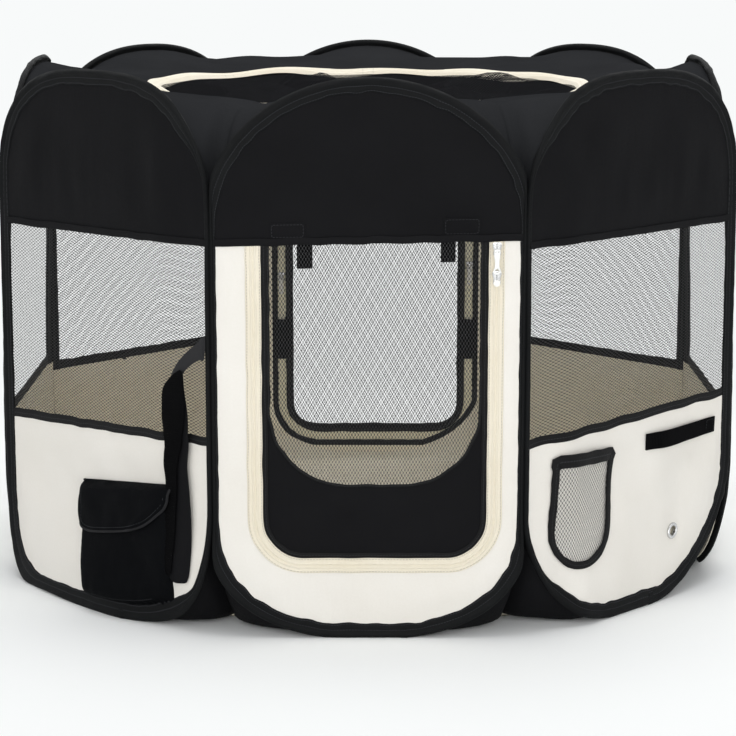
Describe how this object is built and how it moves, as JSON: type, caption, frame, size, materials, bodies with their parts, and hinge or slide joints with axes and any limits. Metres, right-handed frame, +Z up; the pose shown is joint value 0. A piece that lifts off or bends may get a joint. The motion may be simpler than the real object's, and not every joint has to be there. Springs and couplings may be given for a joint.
{
  "type": "foldable dog playpen",
  "caption": "Folding fabric playpen for small dogs: sprung wire panels in a ring, mesh windows, zip doors, zip roof, pocket, bottle pouch and strap.",
  "frame": {"origin": "on the ground at the middle of the ring of panels", "axes": "+Z up from the ground, -Y through the front door, +X to the right as seen from the front"},
  "size_m": [0.8278, 0.8304, 0.58],
  "materials": {
    "black_cloth": "matt woven polyester with a coated back",
    "cream_cloth": "matt woven polyester with a coated back",
    "black_binding": "ribbed binding tape, stitched",
    "spring_steel": "bright drawn wire",
    "black_mesh": "knitted polyester mesh",
    "cream_zip": "woven zip tape with a coil chain",
    "nickel": "bright nickel plate",
    "black_webbing": "ribbed webbing and hook-and-loop strip",
    "base_cloth": "matt woven polyester with a coated back",
    "mat_cloth": "matt woven polyester over thin padding"
  },
  "bodies": {
    "front_panel": {"front_wire": "spring_steel", "front_binding": "black_binding", "front_upper_cloth": "black_cloth", "front_surround": "cream_cloth", "front_zip": "cream_zip", "roof_cloth": "black_cloth", "roof_zip": "cream_zip", "floor": "base_cloth", "floor_mat": "mat_cloth"},
    "front_door": {"front_door_cloth": "black_cloth", "front_door_mesh": "black_mesh"},
    "front_slider_upper": {"front_slider_upper": "nickel"},
    "front_pull": {"front_pull": "nickel"},
    "front_slider_lower": {"front_slider_lower": "nickel"},
    "front_right_panel": {"front_right_wire": "spring_steel", "front_right_binding": "black_binding", "front_right_upper_cloth": "black_cloth", "front_right_window_mesh": "black_mesh", "front_right_lower_cloth": "cream_cloth", "pouch": "black_mesh", "grommet": "nickel", "bottle_strap": "black_webbing"},
    "right_panel": {"right_wire": "spring_steel", "right_binding": "black_binding", "right_upper_cloth": "black_cloth", "right_window_mesh": "black_mesh", "right_lower_cloth": "cream_cloth"},
    "back_right_panel": {"back_right_wire": "spring_steel", "back_right_binding": "black_binding", "back_right_upper_cloth": "black_cloth", "back_right_window_mesh": "black_mesh", "back_right_lower_cloth": "cream_cloth"},
    "back_panel": {"back_wire": "spring_steel", "back_binding": "black_binding", "back_upper_cloth": "black_cloth", "back_surround": "cream_cloth", "back_zip": "cream_zip"},
    "back_door": {"back_door_cloth": "black_cloth", "back_door_mesh": "black_mesh"},
    "back_slider": {"back_slider": "nickel"},
    "back_left_panel": {"back_left_wire": "spring_steel", "back_left_binding": "black_binding", "back_left_upper_cloth": "black_cloth", "back_left_window_mesh": "black_mesh", "back_left_lower_cloth": "cream_cloth"},
    "left_panel": {"left_wire": "spring_steel", "left_binding": "black_binding", "left_upper_cloth": "black_cloth", "left_window_mesh": "black_mesh", "left_lower_cloth": "cream_cloth"},
    "front_left_panel": {"front_left_wire": "spring_steel", "front_left_binding": "black_binding", "front_left_upper_cloth": "black_cloth", "front_left_window_mesh": "black_mesh", "front_left_lower_cloth": "cream_cloth", "pocket": "black_cloth", "closing_strap": "black_webbing"},
    "pocket_flap": {"pocket_flap": "black_cloth"},
    "roof_cover": {"roof_cover": "black_mesh"}
  },
  "joints": [
    {"name": "fold", "type": "hinge", "parent": "front_panel", "child": "front_right_panel", "pos_m": [0.16837, -0.40647, 0], "axis": [0, 0, 1], "range_deg": [0, 135], "deforming": ["roof_cloth", "roof_zip", "roof_cover", "floor", "floor_mat"]},
    {"name": "right_fold", "type": "hinge", "parent": "front_right_panel", "child": "right_panel", "pos_m": [0.41436, -0.17163, 0], "axis": [0, 0, 1], "range_deg": [-225.01, 0]},
    {"name": "back_right_fold", "type": "hinge", "parent": "right_panel", "child": "back_right_panel", "pos_m": [0.40647, 0.16837, 0], "axis": [0, 0, 1], "range_deg": [0, 135]},
    {"name": "back_fold", "type": "hinge", "parent": "back_right_panel", "child": "back_panel", "pos_m": [0.17, 0.41042, 0], "axis": [0, 0, 1], "range_deg": [-45.01, 0]},
    {"name": "front_left_fold", "type": "hinge", "parent": "front_panel", "child": "front_left_panel", "pos_m": [-0.17, -0.41042, 0], "axis": [0, 0, 1], "range_deg": [0, 45.01]},
    {"name": "left_fold", "type": "hinge", "parent": "front_left_panel", "child": "left_panel", "pos_m": [-0.40647, -0.16837, 0], "axis": [0, 0, 1], "range_deg": [-135, 0]},
    {"name": "back_left_fold", "type": "hinge", "parent": "left_panel", "child": "back_left_panel", "pos_m": [-0.41436, 0.17163, 0], "axis": [0, 0, 1], "range_deg": [0, 225.01]},
    {"name": "front_door_swing", "type": "hinge", "parent": "front_panel", "child": "front_door", "pos_m": [0, -0.41122, 0.41], "axis": [-1, 0, 0], "range_deg": [0, 150]},
    {"name": "back_door_swing", "type": "hinge", "parent": "back_panel", "child": "back_door", "pos_m": [0, 0.41122, 0.41], "axis": [1, 0, 0], "range_deg": [0, 150]},
    {"name": "front_zip_run", "type": "slide", "parent": "front_panel", "child": "front_slider_lower", "axis": [0, 0, -1], "range_m": [0, 0.235]},
    {"name": "front_zip_follow", "type": "slide", "parent": "front_panel", "child": "front_slider_upper", "axis": [0, 0, -1], "range_m": [0, 0.2116]},
    {"name": "front_pull_swing", "type": "hinge", "parent": "front_slider_upper", "child": "front_pull", "pos_m": [0.13422, -0.41552, 0.4027], "axis": [-1, 0, 0], "range_deg": [0, 100]},
    {"name": "back_zip_run", "type": "slide", "parent": "back_panel", "child": "back_slider", "axis": [0, 0, 1], "range_m": [-0.14, 0.115]},
    {"name": "pocket_flap_lift", "type": "hinge", "parent": "front_left_panel", "child": "pocket_flap", "pos_m": [-0.29077, -0.29077, 0.1433], "axis": [-0.7071, 0.7071, 0], "range_deg": [0, 85]},
    {"name": "roof_cover_lift", "type": "hinge", "parent": "front_panel", "child": "roof_cover", "pos_m": [0, 0.26212, 0.5485], "axis": [-1, 0, 0], "range_deg": [0, 105]}
  ],
  "couplings": [
    {"joint": "right_fold", "follows": "fold", "ratio": -1.6667},
    {"joint": "back_right_fold", "follows": "fold", "ratio": 1},
    {"joint": "back_fold", "follows": "fold", "ratio": -0.33333},
    {"joint": "front_left_fold", "follows": "fold", "ratio": 0.33333},
    {"joint": "left_fold", "follows": "fold", "ratio": -1},
    {"joint": "back_left_fold", "follows": "fold", "ratio": 1.6667},
    {"joint": "front_zip_follow", "follows": "front_zip_run", "ratio": 0.9}
  ]
}
